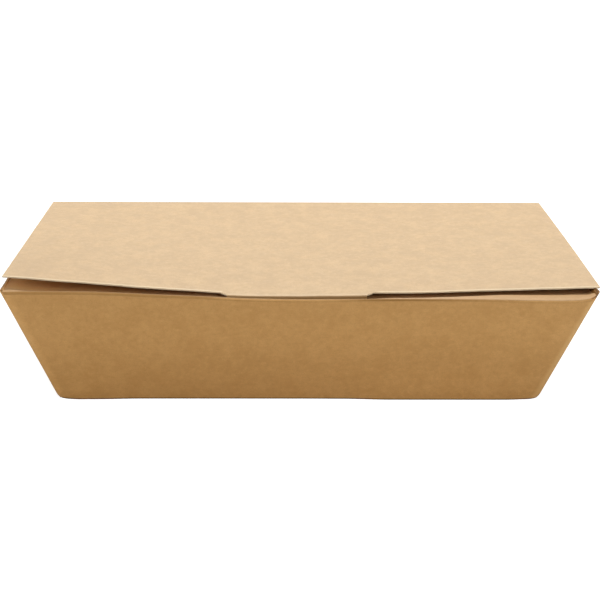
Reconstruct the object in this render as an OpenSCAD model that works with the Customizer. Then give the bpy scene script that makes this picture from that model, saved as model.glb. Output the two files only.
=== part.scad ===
// Takeaway box folded from one blank of brown kraft board.
// A flared tray carries two end flaps and a front flap, and the lid hinges on the rear crease.
// The lid's tab drops through a slot just behind the front crease.
// X runs left to right, Y front to back and Z up. The origin is at the middle of the base.

/* [Board] */
// Thickness of the kraft board
board = 0.45; // [0.35:0.05:0.6]
// Inside radius of a crease at the rim
crease_r = 0.35; // [0.25:0.05:0.8]

/* [Tray] */
// Length of the base, left to right
base_w = 180; // [140:1:230]
// Depth of the base, front to back
base_d = 105; // [80:1:140]
// How far each wall leans out between the table and the lid
flare = 17.5; // [8:0.5:24]
// Height of the closed box at its hinge
box_h = 47.2; // [35:0.1:70]
// Outside radius where each wall folds into the base
base_fold_r = 1.3; // [1:0.1:2.5]
// Radius of the lower corners of the front and rear walls
foot_r = 2.8; // [2:0.1:5]

/* [Corners] */
// Outside radius of the folded corner between two walls
corner_r = 1.2; // [0.9:0.1:1.8]
// How far up the corner its double-folded gusset starts
gusset_start = 2; // [1:0.5:4]

/* [Flaps] */
// Reach of each end flap over the food
end_flap = 45; // [25:1:60]
// How far the free edge of an end flap draws in at each side
end_flap_taper = 9; // [4:0.5:14]
// Reach of the front flap over the food
front_flap = 38; // [20:1:50]
// How far the free edge of the front flap draws in at each side
front_flap_taper = 2; // [1:0.5:8]
// Radius of a flap's free corners
flap_corner_r = 7; // [3:0.5:10]
// How far the front flap's side stands in from the outer face of the end wall
flap_inset = 0.2; // [0.1:0.1:1.5]

/* [Lid] */
// How far the tab holds the middle of the lid's front edge down
lid_sag = 1.2; // [0:0.1:2]
// How far the lid's left front corner springs up above the hinge
left_rise = 3.6; // [0:0.1:5]
// How far the lid's right front corner springs up above the hinge
right_rise = 0.2; // [0:0.1:5]
// How far the lid's front edge stands back beside the tab
lid_setback = 6; // [4:0.5:9]
// Radius of the lid's front corners
lid_corner_r = 1.5; // [0.5:0.5:5]
// Width of the tab at its crease
tab_w = 50; // [35:1:80]
// Length of the tab below its crease
tab_len = 11; // [8:0.5:16]
// Width of the sloping shoulder on each side of the tab
tab_shoulder = 2.3; // [1:0.1:5]
// Radius of the tab's free corners
tab_corner_r = 5; // [2:0.5:7]

/* [Clearances] */
// Air between the lid and the front flap
lid_gap = 0.2; // [0.15:0.05:0.6]
// Air between the front flap and the end flaps
layer_gap = 0.15; // [0.1:0.05:0.4]
// Width of the lip of flat board between the front crease and the slot
slot_lip = 0.2; // [0.1:0.1:1.5]
// Air all round the tab in its slot
slot_gap = 0.5; // [0.3:0.05:1]
// Air between the lid's rear edge and the hinge crease
hinge_gap = 0.15; // [0.1:0.05:0.3]

/* [Hidden] */
$fn = 48;

half_board = board / 2;
lean = atan(flare / box_h);
rim_w = base_w + 2 * flare;
rim_d = base_d + 2 * flare;
slope_len = norm([box_h, flare]);

// A gusset is two boards thick and pressed a little into the end wall that it is glued to
bond = 0.05;
gusset = 2 * board;
end_inset = gusset - bond;

// Middle heights of the three layers that close the top
lid_z = box_h - half_board;
front_flap_z = lid_z - lid_sag - board - lid_gap;
end_flap_z = front_flap_z - board - layer_gap;

// Radii along the middle of the board
crease_mid = crease_r + half_board;
base_fold_mid = base_fold_r - half_board;

// Distance from the centre plane to the middle of a long wall, and of an end wall, at height z
function long_wall(z) = base_d / 2 + z * tan(lean) - half_board / cos(lean);
function end_wall(z) = base_w / 2 + z * tan(lean) - (end_inset + half_board) / cos(lean);

// How far a fold eats into the board on either side of its sharp corner
fold_turn = 90 - lean;
crease_turn = 90 + lean;
fold_reach = base_fold_mid * tan(fold_turn / 2);
crease_reach = crease_mid * tan(crease_turn / 2);
front_wall_top = front_flap_z - crease_reach * cos(lean);
end_wall_top = end_flap_z - crease_reach * cos(lean);
gusset_top = lid_z - half_board - lid_gap - gusset * sin(lean);

// The sides of the flaps start clear of the gussets, and those of the end flaps clear of the long walls
front_flap_w = 2 * (end_wall(front_wall_top) + half_board / cos(lean) - flap_inset);
end_flap_w = 2 * (long_wall(end_wall_top) - gusset);

// Where the front flap ends over the food
front_flap_edge = front_flap - long_wall(front_flap_z);

// The rear crease is pressed to this half thickness, and the lid turns about its middle
pressed = 0.45 * board;
hinge_y = long_wall(lid_z);
lid_rear = hinge_y - (half_board * (1 + sin(lean)) + hinge_gap) / cos(lean);
lid_front_edge = lid_setback - rim_d / 2;
lid_tilt = asin(lid_sag / (hinge_y - lid_front_edge));

// Each wing of the lid turns up about a soft fold, from its rear corner to the tab's shoulder
wing_w = (rim_w - tab_w) / 2 - tab_shoulder;
wing_fold = [wing_w, lid_front_edge - lid_rear];
wing_reach = wing_w * -wing_fold.y / norm(wing_fold);

// The slot opens behind the front crease, and the tab stands behind its front edge
slot_front = slot_lip + crease_reach - long_wall(front_flap_z);
lid_front = slot_front + slot_gap + crease_mid + half_board;
tab_fold = [lid_front - crease_reach, lid_z];
tab_tip = tab_fold + tab_len * [sin(lean), -cos(lean)];

// The tip of the tab sweeps back past the slot's rear edge as the lid swings
swing_r = norm(tab_tip + half_board * [cos(lean), sin(lean)] - [hinge_y, lid_z]);
slot_rear = hinge_y - swing_r + slot_gap;
slot_w = tab_w + 2 * slot_gap;

// How far joined shapes run into each other, and how far a cutting shape reaches past what it cuts
lap = 0.6;
margin = 5;

function unit(v) = v / norm(v);
function right_of(v) = [v.y, -v.x];

// A panel that widens upward by spread at each side, with its two lower corners rounded
module flared_panel(bottom, spread, height, r) {
    tilt = atan(spread / height);
    reach = r * tan((90 - tilt) / 2);
    centre_x = bottom / 2 - reach;
    rise = reach * [sin(tilt), cos(tilt)];
    polygon([
        [-centre_x, 0],
        [centre_x, 0],
        [bottom / 2 + rise.x, rise.y],
        [bottom / 2 + spread, height],
        [-bottom / 2 - spread, height],
        [-bottom / 2 - rise.x, rise.y],
    ]);
    for (side = [-1, 1])
        translate([side * centre_x, r])
            circle(r);
}

// The outline of a folded section, moved out by shift. The corners are the sharp corners of the
// board's middle line, counter-clockwise and convex, and the radii are those of its folds.
module outline(corners, radii, shift) {
    last = len(corners) - 1;
    next = [for (i = [0:last]) i == last ? 0 : i + 1];
    before = [for (i = [0:last]) i == 0 ? last : i - 1];
    ways = [for (i = [0:last]) unit(corners[next[i]] - corners[i])];
    turns = [for (i = [0:last]) acos(ways[before[i]] * ways[i])];
    centres = [for (i = [0:last])
        corners[i] - radii[i] * (tan(turns[i] / 2) * ways[before[i]] + right_of(ways[before[i]]))];
    sharp = [for (i = [0:last]) shift * tan(turns[i] / 2)];
    polygon([for (i = [0:last], side = [before[i], i])
        radii[i] == 0
            ? corners[i] + shift * right_of(ways[i]) - sharp[i] * ways[i]
            : centres[i] + (radii[i] + shift) * right_of(ways[side])]);
    for (i = [0:last])
        if (radii[i] > 0)
            translate(centres[i])
                circle(radii[i] + shift);
}

// The section of the board itself
module band(corners, radii) {
    difference() {
        outline(corners, radii, half_board);
        outline(corners, radii, -half_board);
    }
}

// Carries a section drawn in Y and Z along X
module along_x(length) {
    rotate([90, 0, 90])
        linear_extrude(length, center = true)
            children();
}

// Carries a section drawn in X and Z along Y
module along_y(length) {
    rotate([90, 0, 0])
        linear_extrude(length, center = true)
            children();
}

// What is cut off a flap: all above height z between two depths, apart from the plan in children()
module trim_above(z, front, rear) {
    translate([0, 0, z])
        linear_extrude(box_h)
            difference() {
                translate([-rim_w / 2 - margin, front])
                    square([rim_w + 2 * margin, rear - front]);
                children();
            }
}

// The plan of a flap, with its free edge at the bottom and its crease at height reach
module flap_plan(crease_w, taper, reach) {
    flared_panel(crease_w - 2 * taper, taper, reach, flap_corner_r);
    translate([-crease_w / 2, reach - lap])
        square([crease_w, margin]);
}

// What the long strip may fill: the base stops at the end folds, the walls reach the gussets
module long_strip_room() {
    base_end = end_wall(half_board) - fold_reach;
    wall_foot = long_wall(half_board) - fold_reach;
    wall_room = flare + margin;
    translate([-base_end, -rim_d / 2, -margin])
        cube([2 * base_end, rim_d, 2 * margin]);
    for (side = [-1, 1])
        translate([0, side * (wall_foot + wall_room / 2), 0])
            along_y(wall_room)
                flared_panel(base_w, flare, box_h, foot_r);
}

// What the end strip may fill: it stops inside the board of the front and rear walls
module end_strip_room() {
    along_x(rim_w + 2 * margin)
        flared_panel(base_d - board / cos(lean), flare, box_h, base_fold_r);
}

// Front flap, front wall, base and rear wall
module long_strip() {
    inside = half_board / cos(lean);
    low = front_flap_z - board;
    high = box_h + margin;
    difference() {
        intersection() {
            along_x(rim_w + 2 * margin)
                difference() {
                    band([
                        [-long_wall(half_board), half_board],
                        [long_wall(half_board), half_board],
                        [long_wall(front_flap_z), front_flap_z],
                        [-long_wall(front_flap_z), front_flap_z],
                    ], [base_fold_mid, base_fold_mid, 0, crease_mid]);
                    polygon([
                        [front_flap_edge + lap / 2, low],
                        [long_wall(low) - inside, low],
                        [long_wall(high) - inside, high],
                        [front_flap_edge + lap / 2, high],
                    ]);
                }
            union() {
                long_strip_room();
                translate([-rim_w / 2, -rim_d / 2, front_wall_top])
                    cube([rim_w, base_d, margin]);
            }
        }
        trim_above(front_wall_top, -rim_d / 2 - margin, front_flap_edge + lap)
            translate([0, front_flap_edge])
                rotate(180)
                    flap_plan(front_flap_w, front_flap_taper, front_flap);
        translate([-slot_w / 2, slot_front, low])
            cube([slot_w, slot_rear - slot_front, margin]);
    }
}

// The rear crease, pressed thinner than the board, with the round edge that the lid turns about
module hinge_crease() {
    foot_z = front_flap_z - 2 * margin;
    across = pressed * [cos(lean), -sin(lean)];
    foot = [long_wall(foot_z), foot_z];
    top = [hinge_y, lid_z];
    intersection() {
        along_x(rim_w + 2 * margin) {
            polygon([foot - across, foot + across, top + across, top - across]);
            translate(top)
                circle(pressed);
        }
        long_strip_room();
    }
}

// The end flaps, the end walls and the base between them
module end_strip() {
    difference() {
        intersection() {
            along_y(rim_d)
                band([
                    [-end_wall(half_board), half_board],
                    [end_wall(half_board), half_board],
                    [end_wall(end_flap_z), end_flap_z],
                    [-end_wall(end_flap_z), end_flap_z],
                ], [base_fold_mid, base_fold_mid, crease_mid, crease_mid]);
            end_strip_room();
        }
        trim_above(end_wall_top, -rim_d / 2 - margin, rim_d / 2 + margin)
            for (side = [0, 1])
                mirror([side, 0])
                    translate([end_wall(end_flap_z) - end_flap, 0])
                        rotate(-90)
                            flap_plan(end_flap_w, end_flap_taper, end_flap);
    }
}

// Lays a drawing on the outer face of the right end: its x along Y and its y up the slope
module on_right_end() {
    translate([base_w / 2, 0, 0])
        rotate([0, lean, 0])
            rotate([90, 0, 90])
                children();
}

// The web of board at one corner, folded double and glued flat against the end wall.
// Its crease halves the angle that the flat blank leaves between the two walls.
module gusset_plate() {
    corner_angle = atan(flare / slope_len);
    crease_angle = 45 - 2 * corner_angle;
    top = gusset_top / cos(lean);
    inner_foot = [base_d / 2 - gusset_start * tan(crease_angle), gusset_start];
    inner_top = [base_d / 2 - top * tan(crease_angle), top];
    outer = rim_d / 2 + margin;
    translate([0, 0, -gusset])
        linear_extrude(gusset)
            polygon([inner_foot, [outer, gusset_start], [outer, top], inner_top]);
    translate([inner_foot.x, inner_foot.y, -board])
        rotate([-90, 0, crease_angle])
            cylinder(r = board, h = (top - gusset_start) / cos(crease_angle));
}

module gussets() {
    intersection() {
        for (side = [0, 1], rear = [0, 1])
            mirror([side, 0, 0])
                mirror([0, rear, 0])
                    on_right_end()
                        gusset_plate();
        end_strip_room();
    }
}

// Takes the sharp edge off the four corners, where the board wraps round them.
// The round stands proud of both faces by a hair, so each keeps a crisp edge beside it.
module corner_rounding() {
    corner_half_turn = acos(pow(sin(lean), 2)) / 2;
    pitch = atan(flare * sqrt(2) / box_h);
    centre = [-corner_r / cos(corner_half_turn), 0];
    wide = 3 * corner_r;
    for (side = [-1, 1], rear = [-1, 1])
        translate([side * base_w / 2, rear * base_d / 2, 0])
            rotate([0, pitch, atan2(rear, side)])
                translate([0, 0, -margin])
                    linear_extrude(slope_len + 4 * margin)
                        difference() {
                            polygon([
                                centre,
                                centre + wide * [cos(corner_half_turn), -sin(corner_half_turn)],
                                [wide, 0],
                                centre + wide * [cos(corner_half_turn), sin(corner_half_turn)],
                            ]);
                            translate(centre)
                                circle(corner_r + bond);
                        }
}

module tray() {
    color("peru")
        difference() {
            union() {
                long_strip();
                hinge_crease();
                end_strip();
                gussets();
            }
            corner_rounding();
        }
}

// The plan of the lid's panel, which steps forward at the neck of the tab
module lid_plan() {
    translate([0, lid_front_edge])
        flared_panel(rim_w, 0, lid_rear - lid_front_edge, lid_corner_r);
    polygon([
        [-tab_w / 2, lid_front],
        [tab_w / 2, lid_front],
        [tab_w / 2 + tab_shoulder, lid_front_edge + lap],
        [-tab_w / 2 - tab_shoulder, lid_front_edge + lap],
    ]);
}

// All that lies below the lid's three planes, the middle one and the two wings, moved up by shift
module below_lid(shift, depth) {
    block = [4 * rim_w, 4 * rim_w, depth + shift];
    translate([-block.x / 2, -block.y / 2, lid_z - depth])
        cube(block);
    for (side = [-1, 1]) {
        rise = lid_sag + (side < 0 ? left_rise : right_rise);
        translate([side * rim_w / 2, lid_rear, lid_z])
            rotate([0, 0, atan2(wing_fold.y, -side * wing_fold.x)])
                rotate([side * asin(rise / wing_reach), 0, 0])
                    translate([-block.x / 2, -block.y / 2, -depth])
                        cube(block);
    }
}

// The lid's panel: one board between two such surfaces
module lid_panel() {
    deep = rim_w;
    intersection() {
        difference() {
            below_lid(half_board, deep);
            below_lid(-half_board, deep + margin);
        }
        translate([0, 0, lid_z - box_h / 2])
            linear_extrude(box_h)
                lid_plan();
    }
}

// The tab that locks the lid, with rounded free corners
module lid_tab() {
    below = tab_tip + margin * unit(tab_tip - tab_fold);
    front = lid_front - margin;
    rear = tab_tip.x + gusset;
    intersection() {
        along_x(tab_w)
            band([
                tab_fold,
                below,
                [rear + margin, below.y],
                [rear + margin, lid_z],
            ], [crease_mid, 0, 0, 0]);
        translate([0, (front + rear) / 2, tab_tip.y])
            along_y(rear - front)
                flared_panel(tab_w, 0, tab_len + margin, tab_corner_r);
    }
}

// The lid with its middle held down by the tab
module lid() {
    color("burlywood")
        translate([0, hinge_y, lid_z])
            rotate([lid_tilt, 0, 0])
                translate([0, -hinge_y, -lid_z]) {
                    lid_panel();
                    lid_tab();
                }
}

tray();
lid();
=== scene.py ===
"""A long takeaway box folded from one blank of brown kraft board, with its lid tucked in and sprung up."""

import math

import bmesh
import bpy
from mathutils import Matrix, Vector
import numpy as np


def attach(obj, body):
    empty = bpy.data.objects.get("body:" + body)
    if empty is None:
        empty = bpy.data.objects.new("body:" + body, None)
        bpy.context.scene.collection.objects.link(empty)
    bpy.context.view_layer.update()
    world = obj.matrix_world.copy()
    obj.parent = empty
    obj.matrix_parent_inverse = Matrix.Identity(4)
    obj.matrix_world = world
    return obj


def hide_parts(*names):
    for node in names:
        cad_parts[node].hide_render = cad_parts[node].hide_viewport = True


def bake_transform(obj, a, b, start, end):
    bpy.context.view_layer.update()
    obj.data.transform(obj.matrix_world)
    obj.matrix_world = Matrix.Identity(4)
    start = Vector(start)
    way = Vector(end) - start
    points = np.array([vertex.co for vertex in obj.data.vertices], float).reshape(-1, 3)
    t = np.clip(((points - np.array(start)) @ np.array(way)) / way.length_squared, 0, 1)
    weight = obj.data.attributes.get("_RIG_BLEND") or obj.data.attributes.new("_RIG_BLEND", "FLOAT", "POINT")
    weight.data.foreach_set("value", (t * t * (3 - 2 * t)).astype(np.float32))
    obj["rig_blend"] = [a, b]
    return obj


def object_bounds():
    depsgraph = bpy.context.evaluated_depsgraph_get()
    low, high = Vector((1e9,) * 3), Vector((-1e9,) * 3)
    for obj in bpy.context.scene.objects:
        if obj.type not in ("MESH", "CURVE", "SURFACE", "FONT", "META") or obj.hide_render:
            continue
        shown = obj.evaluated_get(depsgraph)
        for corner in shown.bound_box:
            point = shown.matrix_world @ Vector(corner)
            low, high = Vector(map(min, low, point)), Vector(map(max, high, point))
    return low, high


bl_info = {
    "name": "Kraft takeaway box",
    "version": (1, 0, 0),
    "blender": (4, 5, 0),
    "location": "View3D > Sidebar > Takeaway Box",
    "description": "Folds a flared kraft takeaway box with a tucked lid, and sets its studio",
    "category": "Add Mesh",
}

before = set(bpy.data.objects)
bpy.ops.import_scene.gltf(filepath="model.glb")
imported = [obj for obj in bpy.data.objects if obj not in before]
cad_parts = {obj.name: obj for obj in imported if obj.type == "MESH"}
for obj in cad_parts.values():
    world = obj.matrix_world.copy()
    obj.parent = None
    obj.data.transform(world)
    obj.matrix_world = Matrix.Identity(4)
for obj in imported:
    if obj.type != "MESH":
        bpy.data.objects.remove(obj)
CAD_LOW, CAD_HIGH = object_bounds()
MM = 0.001
RIM_WIDTH = CAD_HIGH.x - CAD_LOW.x
BASE_WIDTH = 180 * MM

# The front wall's crease as it lies in the box: how far it hangs below a straight rim, as seen from
# the front, at places from left to right. All in millimetres.
CREASE_SAG = (
    (-107.5, -0.1), (-100.0, -0.3), (-78.0, -0.25), (-68.0, 0.05), (-54.0, 0.7), (-36.0, 1.4),
    (-18.0, 2.2), (0.0, 2.5), (18.0, 2.4), (36.0, 2.3), (54.0, 2.35), (72.0, 2.5),
    (84.0, 2.75), (94.0, 2.8), (100.0, 2.6), (104.6, 2.0), (106.4, 1.2), (107.5, 0.0),
)
# Share of that sag that comes from the wall swinging outward, and what a swing of 1 mm shows as sag
SWING_SHARE = 0.66
SWING_SHOWS = 0.626
# How fast the swing grows with height, and its share that comes from the wall's belly
SWING_GROWTH = 1.25
SWING_BELLY = 0.3
# Behind the rim the swing is whole up to one distance, and has died out at the other
SWING_WHOLE = 14 * MM
SWING_NONE = 45 * MM

# The front flap falls away behind its crease: how deep, and how far behind the crease that starts, at
# places from left to right. All in millimetres.
FLAP_FALL = (
    (-107.5, 0.0), (-104.0, 0.3), (-98.0, 1.2), (-90.0, 2.0), (-84.0, 2.4),
    (-28.0, 2.2), (28.0, 2.2), (60.0, 1.6), (80.0, 1.0), (107.5, 0.8),
)
FLAP_LEVEL = (
    (-107.5, 0.0), (20.0, 0.0), (40.0, 1.2), (60.0, 3.2), (75.0, 5.6), (98.0, 6.4), (107.5, 2.0),
)
# The fall's length, and the distances from the crease at which it starts to rise and has risen again
FALL_LENGTH = 6 * MM
FALL_WHOLE = 30 * MM
FALL_NONE = 80 * MM

# How far the foot of the front wall stands forward of a straight base, at places from left to right,
# in millimetres, and the height at which that has died out
FOOT_BOW = (
    (-90.0, 0.4), (-82.0, 1.5), (-72.0, 1.3), (-60.0, 0.7), (0.0, 0.6),
    (18.0, 0.8), (34.0, 1.7), (76.0, 1.7), (86.0, 1.0), (90.0, 0.4),
)
FOOT_BOW_HEIGHT = 16 * MM
# How far each foot corner is drawn in, and the height at which that has died out
FOOT_PULL = 0.7 * MM
FOOT_PULL_HEIGHT = 2.4 * MM
# Bow of the end walls and the rear wall, the shares of the way out from the middle of the box between
# which a point comes to count as on a wall, and the wave of each bow in half widths of its wall
WALL_BOW = 0.5 * MM
WALL_STARTS, WALL_WHOLE = 0.93, 0.985
END_WAVE, REAR_WAVE = 2.3, 2.2

# The rear of the box stands a little higher than its front, wholly so from this far behind its middle
REAR_RISE = 0.4 * MM
REAR_RISE_WHOLE = 60 * MM

# Height of the lid's front edge above its hinge, at places from left to right, in millimetres
LID_SPRING = (
    (-107.5, 3.6), (-101.0, 3.25), (-93.8, 2.7), (-83.0, 1.8), (-72.0, 0.92), (-54.0, -0.52),
    (-36.0, -1.7), (-28.0, -2.15), (-14.0, -2.5), (0.0, -2.55), (14.0, -2.3), (28.0, -2.2),
    (40.0, -2.12), (54.0, -1.75), (72.0, -1.2), (91.0, -0.6), (107.5, -0.15),
)
SPRING_LOW = min(height for _, height in LID_SPRING)
SPRING_HIGH = max(height for _, height in LID_SPRING)

# Clear heights from the lid down to the front flap, and from there to the end flaps
LID_GAP = 0.2 * MM
FLAP_GAP = 0.8 * MM
# How far down the rear wall the board of the lid meets that of the tray
SEAM_DROP = 1.7 * MM
# Length of the neck between the lid's front edge and the tab's crease
NECK = 3.5 * MM
# Radius on which a web folds back on itself, in boards. Its layers lie a little apart.
WEB_FOLD = 0.53
# How high the webs start above the table, the least width of a web, and how far the end walls' folds
# stand in from the long walls' faces
WEB_FOOT = 1.3 * MM
WEB_LEAST = 0.03 * MM
WALL_INSET = 1.5 * MM
# How far the front right corner's tip stands above the middle of the lid's board
EAR_RISE = 0.45 * MM
# How much wider the front flap is beyond its crease, and its slot than the tab on each side
FLAP_SPARE = 0.4 * MM
SLOT_SPARE = 0.6 * MM
# How much narrower each side of a flap is at its free edge, and the last stretch before that edge, on
# which its corners turn fastest
FRONT_FLAP_TAPER = 2 * MM
END_FLAP_TAPER = 9 * MM
FLAP_LIP = 2 * MM
# Least clear height between the board of a flap and what lies over it
FRONT_FLAP_CLEAR = 0.12 * MM
END_FLAP_CLEAR = 0.25 * MM

# How many strips make a folded corner, from the long wall to the end wall: the round corner, the outer
# web, its folded edge, the inner web and its turn into the end wall
CORNER_STRIPS, WEB_STRIPS, FOLD_STRIPS, INNER_STRIPS, TURN_STRIPS = 6, 8, 6, 6, 5
# Numbers of the first strip of the folded edge, the first of the turn, and the first past the corner
FIRST_OF_FOLD = CORNER_STRIPS + WEB_STRIPS
FIRST_OF_TURN = FIRST_OF_FOLD + FOLD_STRIPS + INNER_STRIPS
PAST_CORNER = FIRST_OF_TURN + TURN_STRIPS
# How many steps bend a crease at the rim, and a fold at the foot
CREASE_STEPS = 8
FOOT_STEPS = 6
# Edges that turn by more than this are drawn sharp
SHARP_DEGREES = 42

# Marks on the board that the kraft material reads. Above 0 it is painted pale, for wear and as painted
# highlights. Below 0 it is painted dark, for pressed folds and as painted shade. At the lowest marks it is
# painted near black as deep shade.
DEEP_SHADE = -1.3
# Painted shade at the foot of each wall, where it meets the table
FOOT_SHADE = -1.55
# The base's edges, and its folds where they leave it, are a little darker
FOOT_DARKENING = -0.6


def through(knots):
    """A smooth line through (place, value) knots that never swings past them."""
    places = [k[0] for k in knots]
    values = [k[1] for k in knots]
    steps = [
        (values[i + 1] - values[i]) / (places[i + 1] - places[i])
        for i in range(len(knots) - 1)
    ]
    slopes = [steps[0]]
    for a, b in zip(steps, steps[1:]):
        slopes.append(2 * a * b / (a + b) if a * b > 0 else 0.0)
    slopes.append(steps[-1])

    def at(x):
        x = min(max(x, places[0]), places[-1])
        i = next(n for n in range(len(steps)) if x <= places[n + 1])
        h = places[i + 1] - places[i]
        t = (x - places[i]) / h
        return (
            (1 + 2 * t) * (1 - t) ** 2 * values[i]
            + t * (1 - t) ** 2 * h * slopes[i]
            + t * t * (3 - 2 * t) * values[i + 1]
            - t * t * (1 - t) * h * slopes[i + 1]
        )

    return at


def ease(low, high, value):
    """0 before low, 1 after high, and a smooth rise between them."""
    t = min(max((value - low) / (high - low), 0.0), 1.0)
    return t * t * (3 - 2 * t)


def spread(*stops):
    """Places along a line: each stop after the first is (place, number of steps up to it)."""
    places = [stops[0]]
    for end, count in stops[1:]:
        start = places[-1]
        places += [start + (end - start) * (i + 1) / count for i in range(count)]
    return places


crease_sag = through(CREASE_SAG)
lid_spring = through(LID_SPRING)
flap_fall = through(FLAP_FALL)
flap_level = through(FLAP_LEVEL)
foot_bow = through(FOOT_BOW)


def length(label, description, default):
    """A length that a user would change."""
    return bpy.props.FloatProperty(
        name=label, description=description, default=default, precision=5, unit="LENGTH"
    )


def paint(label, description, default):
    """A colour that a user would change."""
    return bpy.props.FloatVectorProperty(
        name=label, description=description, default=default, subtype="COLOR", min=0, max=1
    )


class BoxSizes(bpy.types.PropertyGroup):
    """Sizes of the box"""

    board: length("Board", "Thickness of the kraft board", 0.45 * MM)
    base_width: length("Base width", "Length of the base, left to right", BASE_WIDTH)
    base_depth: length("Base depth", "Depth of the base, front to back", 105 * MM)
    flare: length(
        "Flare",
        "How far each wall leans out between the table and the lid",
        (RIM_WIDTH - BASE_WIDTH) / 2,
    )
    height: length("Height", "Height of the closed box at its hinge", 47.2 * MM)
    crease_radius: length("Crease radius", "Inside radius of a crease at the rim", 0.1 * MM)
    foot_radius: length(
        "Foot radius", "Outside radius where each wall folds into the base", 0.8 * MM
    )
    corner_radius: length(
        "Corner radius", "Outside radius of the folded corner between two walls", 0.75 * MM
    )
    ear: length("Ear", "Width of the ear that stands up at each end of the front crease", 0.3 * MM)
    front_flap: length("Front flap", "Reach of the front flap over the food", 38 * MM)
    end_flap: length("End flap", "Reach of each end flap over the food", 45 * MM)
    flap_corner: length("Flap corner", "Radius of a flap's free corners", 7 * MM)
    lid_setback: length(
        "Lid setback", "How far the lid's front edge stands back from the rim beside the tab", 6 * MM
    )
    tab_width: length("Tab width", "Width of the tab at its crease", 50.4 * MM)
    tab_length: length("Tab length", "Length of the tab below its crease", 11 * MM)
    tab_offset: length("Tab offset", "How far the tab stands right of the middle", -1.1 * MM)


class BoxFinish(bpy.types.PropertyGroup):
    """Colours of its board"""

    # The lid and the walls are one board. The lid's greyer colour is in part a painted sheen, and the walls'
    # more saturated one in part painted shade.
    lid_colour: paint("Lid colour", "Colour of the lid's outside", (0.62, 0.424, 0.221))
    wall_colour: paint("Wall colour", "Colour of the walls' outside", (0.69, 0.386, 0.135))
    flap_colour: paint(
        "Flap colour", "Colour of the outside of the flaps under the lid", (0.56, 0.34, 0.155)
    )
    inside_colour: paint("Inside colour", "Colour of the coated inside", (0.64, 0.34, 0.10))
    # The tray's cut edges are coloured darker, in part as painted shade on the webs' tops.
    tray_edge_colour: paint(
        "Tray edge colour", "Colour of the cut edges of the webs and flaps", (0.36, 0.19, 0.07)
    )
    # The lid's cut edges are coloured paler than the board, in part as a painted highlight.
    edge_colour: paint("Cut edge colour", "Colour of the lid's cut edges", (1.0, 0.77, 0.50))


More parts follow.
